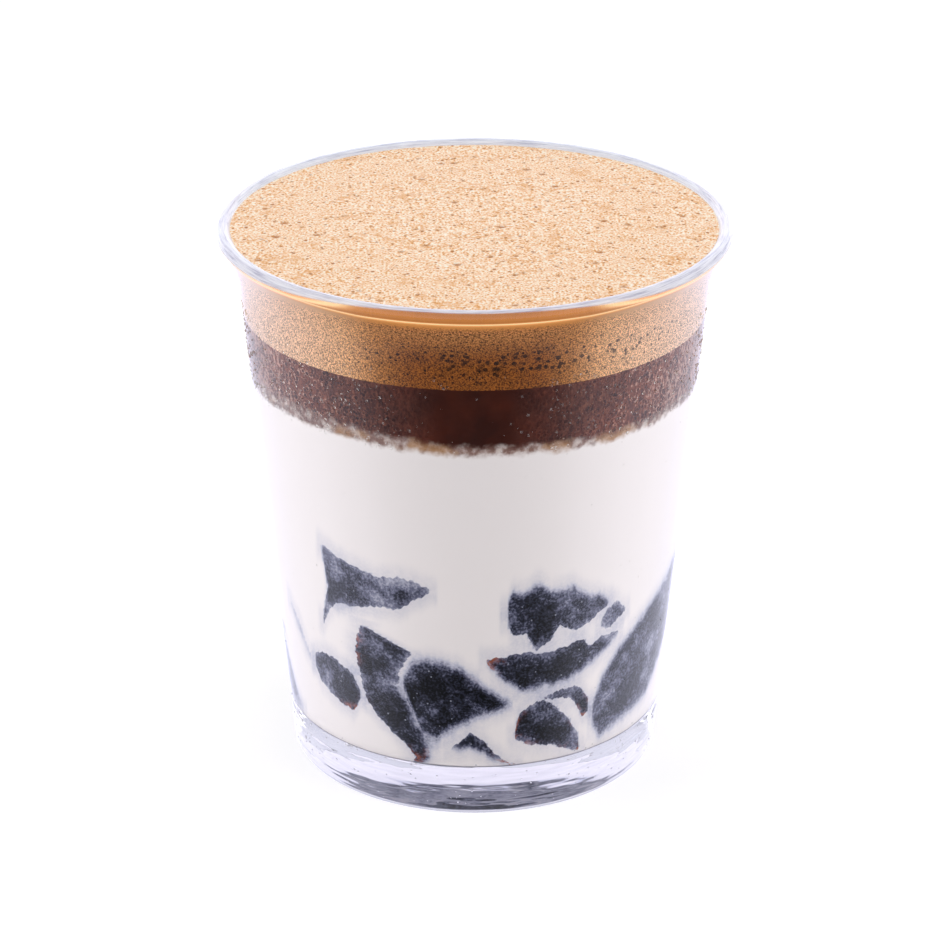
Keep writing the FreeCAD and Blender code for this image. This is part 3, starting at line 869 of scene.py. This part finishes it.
fleck = add(tree, "MapRange", ("From Min", 0.3), ("From Max", 0.37), ("To Max", 0.5),
            ("Value", fleck))
top = add(tree, "Mix", (FACTOR, fleck), (COLOUR_A, top), (COLOUR_B, linear("#E2A058")),
          data_type="RGBA").outputs[COLOUR_OUT]
burst = pit
for apart, size in PORES:
    pore = add(tree, "TexVoronoi", ("Scale", pattern(apart)), ("Vector", place),
               voronoi_dimensions="2D")
    pore = add(tree, "MapRange", ("From Min", size), ("From Max", size * 0.5), ("Value", pore))
    burst = add(tree, "Math", (0, burst), (1, pore), operation="MAXIMUM").outputs[0]
top = add(tree, "Mix", (FACTOR, burst), (COLOUR_A, top), (COLOUR_B, linear("#B46E28")),
          data_type="RGBA").outputs[COLOUR_OUT]
height = add(tree, "SeparateXYZ", (0, place)).outputs["Z"]
height = add(tree, "MapRange", ("From Min", COFFEE_TOP * MM), ("From Max", FOAM_EDGE * MM),
             ("Value", height))
sunk = add(tree, "MapRange", ("From Min", 0.3), ("From Max", 0.6), ("To Max", -0.035),
           ("Value", cling))
risen = add(tree, "Math", (0, sunk), (1, height), operation="ADD")
front = add(tree, "ValToRGB", (0, risen),
            stops=((0.4, "#844A18"), (0.5, "#8C5422"), (0.6, "#9E6330"), (0.73, "#AC7240"),
                   (0.8, "#B87640"), (0.83, "#CE8442"), (0.87, "#E6984A"), (0.897, "#FFB268"),
                   (0.906, "#FFD8A0"), (0.914, "#FFD8A0"), (0.924, "#EE9C50"),
                   (0.934, "#D2823C")))
# Painted sheen: the foam is paler at the sides, with the haze of mist and the glass's
# reflection.
pale = add(tree, "ValToRGB", (0, cling),
           stops=((0.25, "#C08346"), (0.42, "#D29E70"), (0.6, "#DBAC86"), (0.95, "#DEBAA2")))
lit = add(tree, "MapRange", ("From Min", 0.09), ("From Max", 0.42), ("Value", cling),
          interpolation_type="SMOOTHSTEP")
gilt = add(tree, "MapRange", ("From Min", 0.86), ("From Max", 0.895), ("To Min", 1.0),
           ("To Max", 0.25), ("Value", risen))
lit = add(tree, "Math", (0, lit), (1, gilt), operation="MULTIPLY")
side = add(tree, "Mix", (FACTOR, lit), (COLOUR_A, front), (COLOUR_B, pale),
           data_type="RGBA").outputs[COLOUR_OUT]
speck = blotches(tree, place, PACKED_GRAIN, 1.0, (0.35, 0.3), (0.65, 1.7))
smooth = add(tree, "MapRange", ("From Min", 0.78), ("From Max", 0.86), ("Value", height))
speck = add(tree, "Mix", (FACTOR, smooth), (NUMBER_A, speck), (NUMBER_B, 1.0))
side = add(tree, "VectorMath", ("Scale", speck), (0, side), operation="SCALE")
fine = add(tree, "TexVoronoi", ("Scale", pattern(FINE_BUBBLE)), ("Vector", place))
fine = add(tree, "MapRange", ("From Min", 0.2), ("From Max", 0.3), ("To Min", 0.25),
           ("Value", fine))
fine = add(tree, "Mix", (FACTOR, lit), (NUMBER_A, fine), (NUMBER_B, 1.0))
large = add(tree, "TexVoronoi", ("Scale", pattern(LARGE_BUBBLE)), ("Vector", place))
size = add(tree, "Math", (0, coarse), (1, 0.36), operation="MULTIPLY")
large = add(tree, "Math", (0, large), (1, size), operation="GREATER_THAN")
large = add(tree, "Math", (0, large), (1, 0.22), operation="MAXIMUM")
dots = add(tree, "Math", (0, fine), (1, large), operation="MULTIPLY")
dots = add(tree, "Math", (0, dots), (1, smooth), operation="MAXIMUM")
side = add(tree, "VectorMath", ("Scale", dots), (0, side), operation="SCALE")
coloured = add(tree, "Mix", (FACTOR, wall), (COLOUR_A, top), (COLOUR_B, side),
               data_type="RGBA").outputs[COLOUR_OUT]
bump = add(tree, "Bump", ("Strength", 0.5), ("Distance", GRAIN_DEPTH * MM), ("Height", grain))
glint = add(tree, "ValToRGB", (0, risen),
            stops=((0.886, "#000000"), (0.906, "#FFFFFF"), (0.914, "#FFFFFF"),
                   (0.924, "#000000")))
glint = add(tree, "Math", (0, glint), (1, 0.35), operation="MULTIPLY")
glint = add(tree, "Math", (0, glint), (1, wall), operation="MULTIPLY")
skin = add(tree, "BsdfPrincipled", ("Roughness", 0.6), ("Specular IOR Level", 0.2),
           ("Base Color", coloured), ("Normal", bump), ("Emission Color", coloured),
           ("Emission Strength", glint))
add(tree, "OutputMaterial", ("Surface", skin))
dress(foam, coffee_foam, "coffee_foam", "coffee_foam")


# ------------------------------------------------------------------ table, light, camera
# A plain pale table under a white sky, two wide side lamps and one above, and the
# camera a little above the rim.
TABLE_REACH, TABLE_DROP = 3.0, 0.0002     # metres
LAMP_AIM = (0, 0, 0.06)
EYE_TILT, EYE_DISTANCE, EYE_AIM = math.radians(23.94), 0.65, 0.0513
EYE_LENS, EYE_SENSOR = 137.25, 36

corners = [(x * TABLE_REACH, y * TABLE_REACH, -TABLE_DROP)
           for x, y in ((-1, -1), (1, -1), (1, 1), (-1, 1))]
floor = bpy.data.meshes.new("table")
floor.from_pydata(corners, [], [(0, 1, 2, 3)])
table = bpy.data.objects.new("table", floor)
bpy.context.scene.collection.objects.link(table)
table.visible_glossy = False

# Matt pale laminate, which fades into the white room where the eye sees it directly.
laminate, tree = new_material("pale_table_laminate")
matt = add(tree, "BsdfDiffuse", ("Color", linear("#F4F4F4")))
seen = add(tree, "LightPath").outputs["Is Camera Ray"]
seen = add(tree, "Math", (0, seen), (1, 0.3), operation="MULTIPLY")
lift = add(tree, "Emission", ("Color", (1, 1, 1, 1)), ("Strength", seen))
both = add(tree, "AddShader", (0, matt), (1, lift))
add(tree, "OutputMaterial", ("Surface", both))
floor.materials.append(laminate)

# A white room, darker behind the camera and under the table, so that the glass has dark
# lines to show.  Seen through the glass it is dimmer, and mirrored it is cooler.
world = bpy.data.worlds.new("white_room")
world.use_nodes = True
bpy.context.scene.world = world
tree = world.node_tree
tree.nodes.clear()
path = add(tree, "LightPath")
way = add(tree, "SeparateXYZ", (0, add(tree, "TexCoord").outputs["Generated"]))
turned_to = add(tree, "MapRange", ("From Min", -1.0), ("From Max", 1.0),
                ("Value", way.outputs["Y"]))
room = add(tree, "ValToRGB", (0, turned_to),
           stops=((0.1, "#212121"), (0.2, "#838383"), (0.3, "#CBCBCB"), (0.5, "#F3F3F3"),
                  (0.7, "#F3F3F3"), (0.9, "#EDEDED")))
steep = add(tree, "MapRange", ("From Min", -0.95), ("From Max", -0.6), ("To Min", 0.2),
            ("To Max", 2.0), ("Value", way.outputs["Z"]))
walls = add(tree, "Math", (0, room), (1, steep), operation="MULTIPLY")
behind = add(tree, "MapRange", ("From Min", 0.5), ("From Max", 0.85), ("To Min", 1.2),
             ("To Max", 3.3), ("Value", way.outputs["Y"]))
above = add(tree, "MapRange", ("From Min", -0.33), ("From Max", -0.2),
            ("Value", way.outputs["Z"]))
glow = add(tree, "Mix", (FACTOR, above), (NUMBER_A, walls), (NUMBER_B, behind))
through = add(tree, "MapRange", ("From Min", -0.5), ("From Max", 0.5), ("To Min", 0.72),
              ("Value", way.outputs["Y"]))
through = add(tree, "Math", (0, through), (1, path.outputs["Is Transmission Ray"]),
              operation="MULTIPLY")
lit = add(tree, "Math", (0, path.outputs["Is Camera Ray"]), (1, through), operation="MAXIMUM")
lit = add(tree, "Math", (0, lit), (1, 0.5), operation="MAXIMUM")
cool = add(tree, "Mix", (FACTOR, path.outputs["Is Glossy Ray"]), (COLOUR_A, (1, 1, 1, 1)),
           (COLOUR_B, linear("#DADAEC")), data_type="RGBA").outputs[COLOUR_OUT]
mirrored = add(tree, "Math", (0, path.outputs["Is Glossy Ray"]),
               (1, path.outputs["Is Transmission Ray"]), operation="SUBTRACT", use_clamp=True)
strength = add(tree, "Mix", (FACTOR, mirrored), (NUMBER_A, lit), (NUMBER_B, glow))
sky = add(tree, "Background", ("Color", cool), ("Strength", strength))
add(tree, "OutputWorld", ("Surface", sky))


def softbox(name, place, size, watts):
    """A square area lamp at a place, facing the middle of the glass."""
    lamp = bpy.data.lights.new(name, "AREA")
    lamp.size = size
    lamp.energy = watts
    holder = bpy.data.objects.new(name, lamp)
    holder.location = place
    aim = Vector(LAMP_AIM) - Vector(place)
    holder.rotation_euler = aim.to_track_quat("-Z", "Y").to_euler()
    holder.visible_glossy = False
    bpy.context.scene.collection.objects.link(holder)


softbox("left_softbox", (-0.9, -0.1, 0.35), size=0.8, watts=4.0)
softbox("right_softbox", (0.9, -0.1, 0.35), size=0.8, watts=4.0)
softbox("top_softbox", (0, 0.1, 1.0), size=0.8, watts=2.6)

eye = bpy.data.cameras.new("camera")
eye.lens = EYE_LENS
eye.sensor_width = EYE_SENSOR
camera = bpy.data.objects.new("camera", eye)
camera.location = (0, -EYE_DISTANCE * math.cos(EYE_TILT),
                   EYE_AIM + EYE_DISTANCE * math.sin(EYE_TILT))
camera.rotation_euler = (math.pi / 2 - EYE_TILT, 0, 0)
bpy.context.scene.collection.objects.link(camera)
bpy.context.scene.camera = camera
bpy.context.scene.view_settings.view_transform = "Standard"
